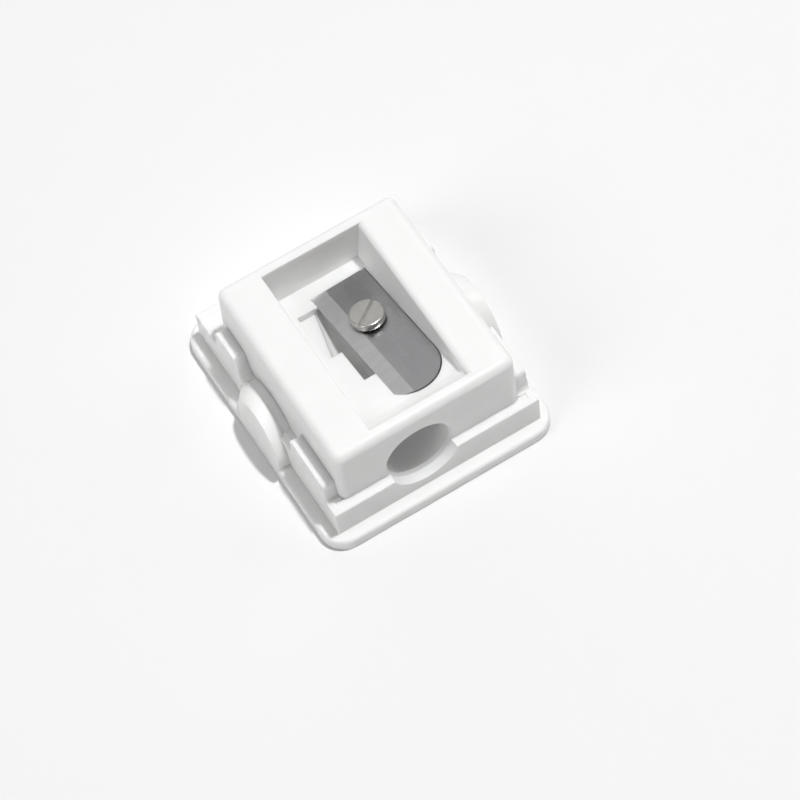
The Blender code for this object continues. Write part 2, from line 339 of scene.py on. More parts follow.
def shade(piece: Piece, angle: float = SMOOTH_ANGLE) -> None:
    """Shade a piece smooth up to an angle, with its flats kept flat.

    Args:
        piece: The object to shade.
        angle: The greatest angle that is shaded smooth.
    """
    activate(piece)
    bpy.ops.object.shade_smooth_by_angle(angle=angle)
    step = piece.modifiers.new("flats", "WEIGHTED_NORMAL")
    step.keep_sharp = True
    bpy.ops.object.modifier_apply(modifier=step.name)


def coat(piece: Piece, *finishes: bpy.types.Material) -> None:
    """Give a piece its materials.

    Args:
        piece: The piece.
        finishes: Its materials, in the order of its slots.
    """
    piece.data.materials.clear()
    for finish in finishes:
        piece.data.materials.append(finish)


def fillet_rod(
    name: str, radius: float, centre: Vector, along: Axis, length: float, low: Vector, high: Vector
) -> Piece:
    """Return the corner between a block and a cylinder that is taken out of it.

    Args:
        name: The new object's name.
        radius: The cylinder's radius.
        centre: A point on the cylinder's axis.
        along: The axis that the cylinder runs along.
        length: The cylinder's length.
        low: The block's lowest corner.
        high: The block's highest corner.

    Returns:
        The block less the cylinder: a fillet to join on, or a rounding to cut away.
    """
    corner = block(name, low, high)
    combine(corner, drum("rod", radius, length, centre, along, ROD_SIDES), Action.CUT)
    return corner


def turn_to(piece: Piece, place: Matrix) -> Piece:
    """Move an object from its own axes to a place, and settle it."""
    piece.matrix_world = place @ piece.matrix_world
    return settle(piece)


def upright(a: Vector, b: Vector) -> bool:
    """Say whether an edge stands up."""
    return abs(a.z - b.z) > 2 * math.hypot(a.x - b.x, a.y - b.y)


def at_height(height: float) -> EdgeTest:
    """Return a test for edges at one height."""
    return lambda a, b: abs(a.z - height) < TOUCH and abs(b.z - height) < TOUCH


def fill(node: bpy.types.Node, values: dict[str, object]) -> None:
    """Set some of a node's inputs by their names."""
    for name, value in values.items():
        node.inputs[name].default_value = value


def wire(source: bpy.types.Node, output: str, target: bpy.types.Node, place: str | int) -> None:
    """Link one node's output to another node's input.

    Args:
        source: The node that gives.
        output: Its output's name.
        target: The node that takes.
        place: The name or the number of its input.
    """
    source.id_data.links.new(source.outputs[output], target.inputs[place])


class GrainGroup:
    """A shared node group: the fine and the broad unevenness of a surface."""

    NAME = "surface_grain"
    SOCKETS = (
        ("Vector", "INPUT", "NodeSocketVector"),
        ("Fine Scale", "INPUT", "NodeSocketFloat"),
        ("Broad Scale", "INPUT", "NodeSocketFloat"),
        ("Stretch", "INPUT", "NodeSocketVector"),
        ("Low Roughness", "INPUT", "NodeSocketFloat"),
        ("High Roughness", "INPUT", "NodeSocketFloat"),
        ("Tone", "OUTPUT", "NodeSocketFloat"),
        ("Roughness", "OUTPUT", "NodeSocketFloat"),
        ("Height", "OUTPUT", "NodeSocketFloat"),
    )
    FINE_DETAIL = 3.0
    BROAD_DETAIL = 2.0
    BROAD_RANGE = (0.3, 0.7)

    @classmethod
    def tree(cls) -> bpy.types.NodeTree:
        """Return the group, built the first time that it is asked for."""
        return bpy.data.node_groups.get(cls.NAME) or cls._build()

    @classmethod
    def _build(cls) -> bpy.types.NodeTree:
        """Build the group's sockets and nodes.

        Returns:
            The new group.
        """
        tree = bpy.data.node_groups.new(cls.NAME, "ShaderNodeTree")
        for name, way, kind in cls.SOCKETS:
            tree.interface.new_socket(name, in_out=way, socket_type=kind)
        source = tree.nodes.new("NodeGroupInput")
        result = tree.nodes.new("NodeGroupOutput")
        stretch = tree.nodes.new("ShaderNodeVectorMath")
        stretch.operation = "MULTIPLY"
        wire(source, "Vector", stretch, 0)
        wire(source, "Stretch", stretch, 1)
        fine = tree.nodes.new("ShaderNodeTexNoise")
        fill(fine, {"Detail": cls.FINE_DETAIL})
        broad = tree.nodes.new("ShaderNodeTexNoise")
        fill(broad, {"Detail": cls.BROAD_DETAIL})
        for noise, scale in ((fine, "Fine Scale"), (broad, "Broad Scale")):
            wire(stretch, "Vector", noise, "Vector")
            wire(source, scale, noise, "Scale")
        rough = tree.nodes.new("ShaderNodeMapRange")
        fill(rough, {"From Min": cls.BROAD_RANGE[0], "From Max": cls.BROAD_RANGE[1]})
        wire(broad, "Fac", rough, "Value")
        wire(source, "Low Roughness", rough, "To Min")
        wire(source, "High Roughness", rough, "To Max")
        wire(broad, "Fac", result, "Tone")
        wire(rough, "Result", result, "Roughness")
        wire(fine, "Fac", result, "Height")
        return tree


@dataclass(frozen=True)
class Finish:
    """A surface finish, as a Principled material with grain."""

    name: str
    light: Colour
    dark: Colour
    roughness: tuple[float, float]
    metallic: float = 0.0
    fine_scale: float = 4000.0
    broad_scale: float = 120.0
    stretch: tuple[float, float, float] = (1.0, 1.0, 1.0)
    turn: float = 0.0
    bump_depth: float = 0.000004
    bump_strength: float = 0.2
    ior: float = 1.5
    translucency: float = 0.0
    translucency_depth: float = 0.0004

    def material(self) -> bpy.types.Material:
        """Build the material.

        Returns:
            The new material.
        """
        made = bpy.data.materials.new(self.name)
        made.use_nodes = True
        nodes = made.node_tree.nodes
        shader = nodes["Principled BSDF"]
        settings = {
            "Metallic": self.metallic,
            "IOR": self.ior,
            "Subsurface Weight": self.translucency,
            "Subsurface Scale": self.translucency_depth,
            "Subsurface Radius": SCATTER_COLOURS,
        }
        fill(shader, settings)
        place = nodes.new("ShaderNodeTexCoord")
        turned = nodes.new("ShaderNodeMapping")
        fill(turned, {"Rotation": (0.0, 0.0, self.turn)})
        wire(place, "Object", turned, "Vector")
        grain = nodes.new("ShaderNodeGroup")
        grain.node_tree = GrainGroup.tree()
        settings = {
            "Fine Scale": self.fine_scale,
            "Broad Scale": self.broad_scale,
            "Stretch": self.stretch,
            "Low Roughness": self.roughness[0],
            "High Roughness": self.roughness[1],
        }
        fill(grain, settings)
        wire(turned, "Vector", grain, "Vector")
        tone = nodes.new("ShaderNodeMix")
        tone.data_type = "RGBA"
        fill(tone, {"A": self.dark, "B": self.light})
        wire(grain, "Tone", tone, "Factor")
        wire(tone, "Result", shader, "Base Color")
        wire(grain, "Roughness", shader, "Roughness")
        bump = nodes.new("ShaderNodeBump")
        fill(bump, {"Strength": self.bump_strength, "Distance": self.bump_depth})
        wire(grain, "Height", bump, "Height")
        wire(bump, "Normal", shader, "Normal")
        return made


@dataclass
class Gauge:
    """The sizes that the pieces share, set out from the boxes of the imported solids."""

    frame_low: Vector
    frame_high: Vector
    body_low: Vector
    body_high: Vector
    plate_thick: float = 0.0017
    wall_inset: float = 0.0016
    wall_thick: float = 0.0009
    wall_height: float = 0.0043
    gap: float = 0.0003
    body_draft: float = 0.0002
    body_corner: Rounding = Rounding(0.0011, 8)
    back_step: float = 0.0019
    foot_height: float = 0.002
    bore_radius: float = 0.004
    bore_x: float = -0.0015
    bore_z: float = 0.0074
    bore_guide: float = 0.0066
    cone_angle: float = math.radians(12.4)
    blade_radius: float = 0.004
    blade_side: float = 0.00305
    blade_thick: float = 0.0005
    blade_straight: float = 0.015307
    blade_edge_offset: float = 0.00025
    blade_tip_back: float = 0.0013
    cut_depth: float = 0.0001
    screw_along: float = 0.0085
    screw_aside: float = 0.0004

    @classmethod
    def from_frame(cls) -> "Gauge":
        """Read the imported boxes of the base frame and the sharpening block.

        Returns:
            The gauge that is set out from them.
        """
        frame_low, frame_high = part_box("base_frame")
        body_low, body_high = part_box("sharpener_body")
        return cls(frame_low, frame_high, body_low, body_high)

    @property
    def wall_top(self) -> float:
        """The height of the frame wall's top."""
        return self.plate_thick + self.wall_height

    @property
    def wall_half(self) -> float:
        """Half the width over the frame wall."""
        return self.frame_high.x - self.wall_inset

    @property
    def wall_front(self) -> float:
        """The front wall's outer face."""
        return self.frame_low.y + self.wall_inset

    @property
    def wall_back(self) -> float:
        """The back wall's outer face."""
        return self.frame_high.y - self.wall_inset

    @property
    def body_back(self) -> float:
        """The block's back face, in front of its low foot."""
        return self.body_high.y - self.back_step

    @property
    def cone_start(self) -> float:
        """Where the bore's cone begins."""
        return self.body_low.y + self.bore_guide

    @property
    def blade_place(self) -> Matrix:
        """The blade's own axes: its round end's centre on its underside, Y along it.

        Returns:
            The turn and the place that take them to the part's frame.
        """
        x = self.bore_x + self.blade_edge_offset + self.blade_side
        y = self.cone_start + self.blade_tip_back
        z = self.bore_z + self.bore_radius - self.cut_depth
        z -= math.tan(self.cone_angle) * self.blade_tip_back
        turn = Matrix.Rotation(BLADE_YAW, 4, "Z") @ Matrix.Rotation(-self.cone_angle, 4, "X")
        return Matrix.Translation((x, y, z)) @ turn

    def floor_height(self, y: float) -> float:
        """Return the height of the recess floor, level with the blade's top, at a place along Y."""
        rise = (self.blade_thick - self.cut_depth) / math.cos(self.cone_angle)
        return self.bore_z + self.bore_radius + rise - math.tan(self.cone_angle) * (y - self.cone_start)


def body_blank(name: str, gauge: Gauge, extra: float) -> Piece:
    """Return the block's drafted outline as a solid, without its foot.

    Args:
        name: The solid's name.
        gauge: The shared sizes.
        extra: How much larger than the block it is, all round.

    Returns:
        The solid, with its upright corners rounded.
    """
    half = gauge.body_high.x + extra
    low = Vector((-half, gauge.body_low.y - extra, gauge.body_low.z - extra))
    high = Vector((half, gauge.body_back + extra, gauge.body_high.z))
    blank = block(name, low, high)
    with editing(blank):
        pick_faces(blank, lambda centre, normal: normal.z > FACING)
        shrink_x = 1 - gauge.body_draft / half
        shrink_y = 1 - 2 * gauge.body_draft / (high.y - low.y)
        middle = (0, (high.y + low.y) / 2, high.z)
        bpy.ops.transform.resize(value=(shrink_x, shrink_y, 1), center_override=middle)
    round_edges(blank, upright, gauge.body_corner)
    return blank


def body_foot(name: str, gauge: Gauge, extra: float) -> Piece:
    """Return the low foot at the block's back.

    Args:
        name: The solid's name.
        gauge: The shared sizes.
        extra: How much larger than the foot it is, all round.

    Returns:
        The foot, reaching into the block.
    """
    half = gauge.body_high.x - gauge.body_corner.radius + extra
    low = Vector((-half, gauge.body_back - OVERSHOOT, gauge.body_low.z - extra))
    high = Vector((half, gauge.body_high.y + extra, gauge.body_low.z + gauge.foot_height + extra))
    return block(name, low, high)


@dataclass
class BaseFrame:
    """The base plate with its upright wall, snap tabs and half-moon grips."""

    gauge: Gauge
    plate_corner: Rounding = Rounding(0.003, 14)
    plate_edge: Rounding = Rounding(0.0004, 5)
    plate_foot_edge: Rounding = Rounding(0.00018, 3)
    rim_round: Rounding = Rounding(0.00013, 3)
    groove_depth: float = 0.00015
    block_fit: float = 0.000005
    tab_height: float = 0.003
    tab_thick: float = 0.0011
    tab_groove: float = 0.00012
    tab_lean: float = 0.00006
    tabs: tuple[SnapTab, ...] = (
        SnapTab("front_tab", 0.0024, 0.0071, 0.0003, 0.0006),
        SnapTab("back_tab", 0.0219, 0.0041, 0.0012, 0.0016),
    )
    tab_end_slope: float = 0.0003
    tab_end_round: Rounding = Rounding(0.0004, 6)
    tab_edge: Rounding = Rounding(0.0001, 3)
    tab_lip: tuple[tuple[float, float], ...] = ((0.00085, 0.0), (0.00098, 0.00008), (0.0019, 0.0))
    grip_face: tuple[float, float, float] = (0.0148, 0.0017, 0.0045)
    grip_root: tuple[float, float, float] = (0.01615, 0.0006, 0.0056)
    grip_depth: float = 0.00197
    grip_edge: Rounding = Rounding(0.0005, 7)
    grip_sides: int = 160
    grip_lean: float = math.radians(2)
    grip_web_drop: float = 0.00025
    notch_clearance: float = 0.00025
    notch_sides: int = 128
    root: float = 0.00055

    def build(self, finish: bpy.types.Material) -> Piece:
        """Model the moulding as one piece.

        Args:
            finish: Its material.

        Returns:
            The finished piece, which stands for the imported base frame.
        """
        piece = self._plate()
        combine(piece, self._wall(), Action.JOIN)
        for side in Side:
            for form in self.tabs:
                combine(piece, self._tab(form, side), Action.JOIN)
            combine(piece, self._grip(side), Action.JOIN)
            combine(piece, self._grip_web(side), Action.JOIN)
        combine(piece, self._pocket(), Action.CUT)
        combine(piece, self._notch(), Action.CUT)
        shade(piece)
        coat(piece, finish)
        return piece

    def _plate(self) -> Piece:
        """Model the base plate, rounded at its corners and its edges.

        Returns:
            The plate, which the rest of the moulding is joined to.
        """
        low, high = self.gauge.frame_low, self.gauge.frame_high
        top = self.gauge.plate_thick
        plate = block("moulded_base_frame", low, Vector((high.x, high.y, top)))
        round_edges(plate, upright, self.plate_corner)
        round_edges(plate, at_height(top), self.plate_edge)
        round_edges(plate, at_height(low.z), self.plate_foot_edge)
        return plate

    def _wall(self) -> Piece:
        """Model the upright wall, with the shallow groove inside its rim.

        Returns:
            The wall, which reaches down into the plate.
        """
        g = self.gauge
        low = Vector((-g.wall_half, g.wall_front, g.plate_thick - self.root))
        high = Vector((g.wall_half, g.wall_back, g.wall_top))
        wall = block("frame_wall", low, high)
        with editing(wall):
            pick_faces(wall, lambda centre, normal: normal.z > FACING)
            bpy.ops.mesh.inset(thickness=g.wall_thick)
            extrude(0, 0, -self.groove_depth)

        def rim(a: Vector, b: Vector) -> bool:
            """Say whether an edge runs along the wall's top, not across its corners."""
            across = abs(a.x - b.x) > TOUCH and abs(a.y - b.y) > TOUCH
            return at_height(g.wall_top)(a, b) and not across

        round_edges(wall, rim, self.rim_round)
        return wall

    def _pocket(self) -> Piece:
        """Model the pocket that the block stands in, a hair larger than the block.

        Returns:
            The pocket's cutter.
        """
        pocket = body_blank("block_pocket", self.gauge, self.block_fit)
        combine(pocket, body_foot("foot_pocket", self.gauge, self.block_fit), Action.JOIN)
        return pocket

    def _tab(self, form: SnapTab, side: Side) -> Piece:
        """Return a snap tab on one long wall.

        Args:
            form: The tab's place and measures.
            side: The wall that it stands on.

        Returns:
            The tab, which reaches in past the block's side until the pocket is cut. It leans in,
            with a faint lip, rounded edges, a hollow front foot and a shallow groove by the block.
        """
        g = self.gauge
        inner = g.body_high.x - self.root
        front = g.wall_front + form.start
        back = front + form.length
        top = g.wall_top + self.tab_height
        ends = sorted((side.value * inner, side.value * g.wall_half))
        low = Vector((ends[0], front, g.wall_top))
        tab = block(f"{form.name}_{side.name.lower()}", low, Vector((ends[1], back, top)))
        with editing(tab) as mesh:
            bpy.ops.mesh.select_mode(type="VERT")
            for vert in mesh.verts:
                if vert.co.z < g.wall_top + TOUCH:
                    vert.co.y += -form.ramp if vert.co.y < front + TOUCH else self.tab_end_slope
                else:
                    vert.co.x -= side.value * self.tab_lean
            bmesh.update_edit_mesh(tab.data)
            for drop, _ in self.tab_lip:
                score((0, 0, top - drop), (0, 0, 1))
            mesh = bmesh.from_edit_mesh(tab.data)
            for vert in mesh.verts:
                for drop, depth in self.tab_lip:
                    outer = side.value * vert.co.x > g.wall_half - g.wall_thick / 2
                    if outer and abs(vert.co.z - top + drop) < 5 * HAIR:
                        vert.co.x -= side.value * depth
            bmesh.update_edit_mesh(tab.data)
            pick_faces(tab, lambda centre, normal: normal.z < -FACING)
            extrude(0, 0, -self.root)

        def top_end(a: Vector, b: Vector) -> bool:
            """Say whether an edge is one of the two across the ends of the top."""
            return min(a.z, b.z) > top - TOUCH and abs(a.y - b.y) < TOUCH

        def outline(a: Vector, b: Vector) -> bool:
            """Say whether an edge above the wall bounds the tab's outer or inner face.

            Args:
                a: One end of the edge.
                b: Its other end.

            Returns:
                True for such an edge.
            """
            level = abs(a.z - b.z) < 5 * HAIR and a.z < top - self.tab_end_round.radius
            along = abs(a.x - b.x) < self.tab_thick / 2
            return min(a.z, b.z) > g.wall_top - TOUCH and along and not level

        round_edges(tab, top_end, self.tab_end_round)
        round_edges(tab, outline, self.tab_edge)
        combine(tab, self._tab_foot(form, ends, front - form.ramp), Action.JOIN)
        combine(tab, self._tab_groove(side, front, back), Action.CUT)
        return tab

    def _tab_groove(self, side: Side, front: float, back: float) -> Piece:
        """Return the cutter of the groove between a tab's top and the block.

        Args:
            side: The wall that the tab stands on.
            front: The front end of the tab's top, along Y.
            back: The back end of the tab's top, along Y.

        Returns:
            The cutter, which reaches past the tab's ends and into the block.
        """
        g = self.gauge
        edge = g.wall_half - self.tab_thick - self.tab_lean
        faces = sorted((side.value * edge, side.value * (g.body_high.x - 2 * self.root)))
        top = g.wall_top + self.tab_height
        low = Vector((faces[0], front - self.tab_height, top - self.tab_groove))
        return block("tab_groove", low, Vector((faces[1], back + self.tab_height, top + OVERSHOOT)))

    def _tab_foot(self, form: SnapTab, ends: list[float], foot: float) -> Piece:
        """Return the hollow fillet between a tab's front end and the wall's top.

        Args:
            form: The tab's measures.
            ends: The tab's outer face and its inner end, the lower first, along X.
            foot: Where the tab's front end meets the wall's top, along Y.

        Returns:
            The fillet, as wide as the tab less the wall's rounded rim.
        """
        top = self.gauge.wall_top
        rim = self.rim_round.radius
        slope = math.atan2(self.tab_height, form.ramp)
        reach = form.fillet * math.tan(slope / 2)
        low = Vector((ends[0] + rim, foot - reach, top - self.root))
        high = Vector((ends[1] - rim, foot + reach * math.cos(slope), top + reach * math.sin(slope)))
        axis = Vector(((ends[0] + ends[1]) / 2, foot - reach, top + form.fillet))
        return fillet_rod("tab_foot", form.fillet, axis, Axis.X, 3 * self.gauge.wall_thick, low, high)

    def _grip(self, side: Side) -> Piece:
        """Model a half-moon grip, which widens from its outer face to the wall.

        Args:
            side: The long side that it stands on.

        Returns:
            The grip, rounded at its outer rim and leaning in.
        """
        g = self.gauge
        outer = g.frame_high.x - TOUCH / 2
        middle_x = outer - self.grip_depth / 2
        foot = g.plate_thick - self.root
        along, rise, radius = self.grip_root
        root = Vector((side.value * middle_x, g.wall_front + along, g.plate_thick + rise))
        grip = drum(f"grip_{side.name.lower()}", radius, self.grip_depth, root, Axis.X, self.grip_sides)
        along, rise, face_radius = self.grip_face
        face = Vector((0, g.wall_front + along, g.plate_thick + rise))
        with editing(grip) as mesh:
            for vert in mesh.verts:
                if side.value * vert.co.x > middle_x:
                    vert.co.y = face.y + (vert.co.y - root.y) * face_radius / radius
                    vert.co.z = face.z + (vert.co.z - root.z) * face_radius / radius
        keep_half(grip, Vector((0, 0, foot)), Vector((0, 0, -1)))

        def rim(a: Vector, b: Vector) -> bool:
            """Say whether an edge lies on the rim of the grip's outer face."""
            level = min(side.value * a.x, side.value * b.x) > outer - TOUCH
            return level and max(a.z, b.z) > foot + TOUCH

        round_edges(grip, rim, self.grip_edge)
        lean = side.value * math.tan(self.grip_lean)
        with editing(grip) as mesh:
            for vert in mesh.verts:
                out = side.value * vert.co.x - (outer - self.grip_depth)
                vert.co.x -= lean * (vert.co.z - foot) * out / self.grip_depth
        return grip

    def _grip_web(self, side: Side) -> Piece:
        """Model the web between a grip and the block, a little lower than the grip.

        Args:
            side: The long side that the grip stands on.

        Returns:
            The web, which reaches in past the block's side until the pocket is cut.
        """
        g = self.gauge
        name = f"grip_web_{side.name.lower()}"
        along, rise, radius = self.grip_root
        inner = g.body_high.x - self.root
        outer = g.frame_high.x - self.grip_depth + self.rim_round.radius
        centre = Vector((side.value * (inner + outer) / 2, g.wall_front + along, g.plate_thick + rise))
        web = drum(name, radius - self.grip_web_drop, outer - inner, centre, Axis.X, self.grip_sides)
        keep_half(web, Vector((0, 0, g.plate_thick)), Vector((0, 0, -1)))
        return web

    def _notch(self) -> Piece:
        """Model the notch in the front wall, before the bore's mouth.

        Returns:
            The notch's cutter.
        """
        g = self.gauge
        depth = g.wall_inset + g.wall_thick + 2 * OVERSHOOT
        centre = Vector((g.bore_x, g.frame_low.y - OVERSHOOT + depth / 2, g.bore_z))
        radius = g.bore_radius + self.notch_clearance
        return drum("pencil_notch", radius, depth, centre, Axis.Y, self.notch_sides)


@dataclass
class SharpeningBlock:
    """The block with its bore, cone, sloping recess, blade seat and stepped window."""

    gauge: Gauge
    top_edge: Rounding = Rounding(0.001, 7)
    cone_tip_radius: float = 0.0005
    bore_chamfer: float = 0.0003
    bore_sides: int = 160
    recess_half: float = 0.0063
    recess_front: float = 0.00292
    recess_slope_run: float = 0.00185
    recess_back_wall: float = 0.00175
    recess_foot: tuple[tuple[float, float], ...] = (
        (-0.0068, 0.0063),
        (-0.0043, 0.0062),
        (-0.002, 0.00596),
        (0.0004, 0.0057),
        (0.0045, 0.0056),
    )
    recess_foot_round: Rounding = Rounding(0.00045, 5)
    recess_top_round: float = 0.00085
    recess_round_in: float = 0.0001
    recess_edge: float = 0.00014
    recess_flare: tuple[tuple[float, float], ...] = ((0.7, 0.3), (0.6, 1.4))
    seat_gap: float = 0.00012
    seat_front_room: float = 0.00012
    window_steps: tuple[tuple[float, float], ...] = (
        (0.0064, 0.00001),
        (0.0102, 0.0016),
        (0.0152, 0.0036),
    )
    window_back_room: float = 0.00355
    chute_lean: float = 0.0005

    def build(self, finish: bpy.types.Material) -> Piece:
        """Model the block as one piece.

        Args:
            finish: Its material.

        Returns:
            The finished piece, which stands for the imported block.
        """
        piece = self._solid()
        combine(piece, self._recess(), Action.CUT)
        combine(piece, self._recess_shoulder(), Action.CUT)
        combine(piece, self._bore(), Action.CUT)
        combine(piece, self._window(), Action.CUT)
        combine(piece, self._seat(), Action.CUT)
        shade(piece)
        coat(piece, finish)
        return piece

    @property
    def recess_back(self) -> float:
        """The recess's back wall."""
        return self.gauge.body_back - self.recess_back_wall

    def _solid(self) -> Piece:
        """Model the drafted block with its rounded top and its low foot.

        Returns:
            The solid that the hollows are cut out of.
        """
        solid = body_blank("moulded_block", self.gauge, 0.0)
        round_edges(solid, at_height(self.gauge.body_high.z), self.top_edge)
        combine(solid, body_foot("block_foot", self.gauge, 0.0), Action.JOIN)
        return solid

    def _bore(self) -> Piece:
        """Model the bore with its chamfered mouth and its cone.

        Returns:
            The bore's cutter.
        """
        g = self.gauge
        mouth = g.body_low.y - OVERSHOOT
        guide_end = g.cone_start
        tip = guide_end + (g.bore_radius - self.cone_tip_radius) / math.tan(g.cone_angle)
        middle = Vector((g.bore_x, (mouth + guide_end) / 2, g.bore_z))
        bore = drum("pencil_bore", g.bore_radius, guide_end - mouth, middle, Axis.Y, self.bore_sides)
        end = (g.bore_x, tip, g.bore_z)
        with editing(bore):
            pick_faces(bore, lambda centre, normal: normal.y > FACING)
            extrude(0, tip - guide_end, 0)
            shrink = self.cone_tip_radius / g.bore_radius
            bpy.ops.transform.resize(value=(shrink, 1, shrink), center_override=end)
        flare = self.bore_chamfer + OVERSHOOT
        bpy.ops.mesh.primitive_cone_add(
            vertices=self.bore_sides,
            radius1=g.bore_radius + flare,
            radius2=g.bore_radius - TOUCH,
            depth=flare + TOUCH,
            location=(g.bore_x, mouth + (flare + TOUCH) / 2 + g.body_draft / 2, g.bore_z),
            rotation=(-math.pi / 2, 0, 0),
        )
        combine(bore, settle(bpy.context.object), Action.JOIN)
        return bore

    def _recess(self) -> Piece:
        """Model the sloping recess, whose right wall leans in towards the back.

        Returns:
            The recess's cutter, flared at its top to round the recess's edge.
        """
        g = self.gauge
        top = g.body_high.z
        front = g.wall_front + self.recess_front
        toe = front + self.recess_slope_run
        low = Vector((-self.recess_half, toe, g.floor_height(toe)))
        recess = block("recess", low, Vector((self.recess_half, self.recess_back, top)))
        foot = dict(self.recess_foot)
        foot[toe] = self.recess_half
        foot[self.recess_back] = self.recess_foot[-1][1]
        with editing(recess):
            for station, _ in self.recess_foot:
                score((0, station, 0), (0, 1, 0))
            mesh = bmesh.from_edit_mesh(recess.data)
            for vert in mesh.verts:
                if vert.co.z > top - TOUCH:
                    vert.co.y = front if vert.co.y < toe + TOUCH else vert.co.y
                    continue
                station = min(foot, key=lambda y: abs(y - vert.co.y))
                vert.co.x = foot[station] if vert.co.x > 0 else vert.co.x
                vert.co.z = g.floor_height(vert.co.y)

        def right_foot(a: Vector, b: Vector) -> bool:
            """Say whether an edge lies at the right wall's foot or its front corner.

            Args:
                a: One end of the edge.
                b: Its other end.

            Returns:
                True for such an edge.
            """
            lowest = a if a.z < b.z else b
            on_foot = lowest.x > 0 and abs(lowest.z - g.floor_height(lowest.y)) < TOUCH
            along = max(a.z, b.z) < top - TOUCH and abs(a.x - b.x) < self.recess_half / 2 and a.x > 0
            corner = max(a.z, b.z) > top - TOUCH and abs(lowest.y - toe) < TOUCH
            return on_foot and (along or corner)

        round_edges(recess, right_foot, self.recess_foot_round)
        edge = self.recess_edge
        middle = Vector((0, (front + self.recess_back) / 2, top))
        half = Vector((self.recess_half, (self.recess_back - front) / 2, 0))
        with editing(recess):
            pick_faces(recess, lambda centre, normal: normal.z > FACING and centre.z > top - TOUCH)
            bpy.ops.transform.translate(value=(0, 0, -edge))
            for rise, spread in self.recess_flare:
                extrude(0, 0, edge * rise)
                wider = edge * spread
                grow = (1 + wider / half.x, 1 + wider / half.y, 1)
                bpy.ops.transform.resize(value=grow, center_override=middle)
                half += Vector((wider, wider, 0))
        return recess

    def _recess_shoulder(self) -> Piece:
        """Model the rounding of the recess's right wall, set in to meet the leaning wall.

        Returns:
            The rounding's cutter.
        """
        g = self.gauge
        radius = self.recess_top_round
        front = g.wall_front + self.recess_front
        top = g.body_high.z
        middle = self.recess_half + radius - self.recess_round_in
        low = Vector((self.recess_half - 2 * self.recess_round_in, front, top - radius))
        high = Vector((middle, self.recess_back, top + TOUCH))
        axis = Vector((middle, (front + self.recess_back) / 2, top - radius))
        length = 2 * (self.recess_back - front)
        return fillet_rod("recess_shoulder", radius, axis, Axis.Y, length, low, high)

    def _window(self) -> Piece:
        """Model the stepped window beside the blade's edge, down to the bore's axis.

        Returns:
            The window's cutter.
        """
        g = self.gauge
        edge_x = g.bore_x + g.blade_edge_offset
        back = self.recess_back - self.window_back_room
        high = Vector((edge_x + g.gap, back, g.body_high.z))
        steps = []
        for start, width in self.window_steps:
            low = Vector((edge_x - width, g.wall_front + start, g.bore_z))
            steps.append(block("window", low, high))
        window = steps[0]
        for step in steps[1:]:
            combine(window, step, Action.JOIN)
        widest = edge_x - self.window_steps[-1][1]
        with editing(window) as mesh:
            for vert in mesh.verts:
                if vert.co.x < widest + TOUCH and vert.co.z < g.bore_z + TOUCH:
                    vert.co.x += self.chute_lean
        return window

    def _seat(self) -> Piece:
        """Model the blade's seat, a little longer than the blade at its round end.

        Returns:
            The seat's cutter.
        """
        g = self.gauge
        seat = blade_blank("seat", g, self.seat_gap, -g.gap, g.blade_thick + self.seat_gap)
        seat.location = (0, -self.seat_front_room, 0)
        return turn_to(settle(seat), g.blade_place)


def blade_blank(name: str, gauge: Gauge, extra: float, low: float, high: float) -> Piece:
    """Return the blade's outline as a solid in the blade's own axes.

    Args:
        name: The solid's name.
        gauge: The shared sizes.
        extra: How much larger than the blade the outline is, all round.
        low: The solid's underside.
        high: Its top.

    Returns:
        The solid: a round front end, a straight right side and a cut-off left side.
    """
    radius = gauge.blade_radius + extra
    middle = Vector((0, 0, (low + high) / 2))
    blank = drum(name, radius, high - low, middle, Axis.Z, BLADE_SIDES)
    keep_half(blank, middle, Vector((0, 1, 0)))
    with editing(blank):
        pick_faces(blank, lambda centre, normal: normal.y > FACING)
        extrude(0, gauge.blade_straight + extra, 0)
    keep_half(blank, Vector((-gauge.blade_side - extra, 0, 0)), Vector((-1, 0, 0)))
    return blank


@dataclass
class Blade:
    """The steel blade with its ground cutting edge and its screw hole."""

    gauge: Gauge
    corner: Rounding = Rounding(0.0006, 8)
    grind_width: float = 0.0019
    grind_edge: float = 0.00008
    hole_radius: float = 0.0013
    hole_sides: int = 64
    edge_break: Rounding = Rounding(0.00004, 2)
    smooth_angle: float = math.radians(8)

    def build(self, finish: bpy.types.Material, edge_finish: bpy.types.Material) -> Piece:
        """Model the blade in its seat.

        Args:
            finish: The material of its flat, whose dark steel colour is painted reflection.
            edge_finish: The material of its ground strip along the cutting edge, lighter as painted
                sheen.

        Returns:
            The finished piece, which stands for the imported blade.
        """
        g = self.gauge
        piece = blade_blank("ground_blade", g, 0.0, 0.0, g.blade_thick)
        back = g.blade_straight

        def back_corner(a: Vector, b: Vector) -> bool:
            """Say whether an edge is one of the two upright ones at the back."""
            return upright(a, b) and a.y > back - TOUCH

        round_edges(piece, back_corner, self.corner)
        middle = Vector((g.screw_aside, g.screw_along, 0))
        hole = drum("blade_hole", self.hole_radius, 4 * g.blade_thick, middle, Axis.Z, self.hole_sides)
        combine(piece, hole, Action.CUT)
        slope = (g.blade_thick - self.grind_edge) / self.grind_width
        edge = Vector((-g.blade_side, 0, self.grind_edge))
        keep_half(piece, edge, Vector((-slope, 0, 1)).normalized())
        soften(piece, self.edge_break)
        shade(piece, self.smooth_angle)
        coat(piece, finish, edge_finish)
        # The ground strip takes the lighter steel, whose extra brightness is painted sheen.
        with editing(piece):
            pick_faces(piece, lambda centre, normal: normal.x < -slope / 2 and normal.z > FACING)
            piece.active_material_index = 1
            bpy.ops.object.material_slot_assign()
        return turn_to(piece, g.blade_place)


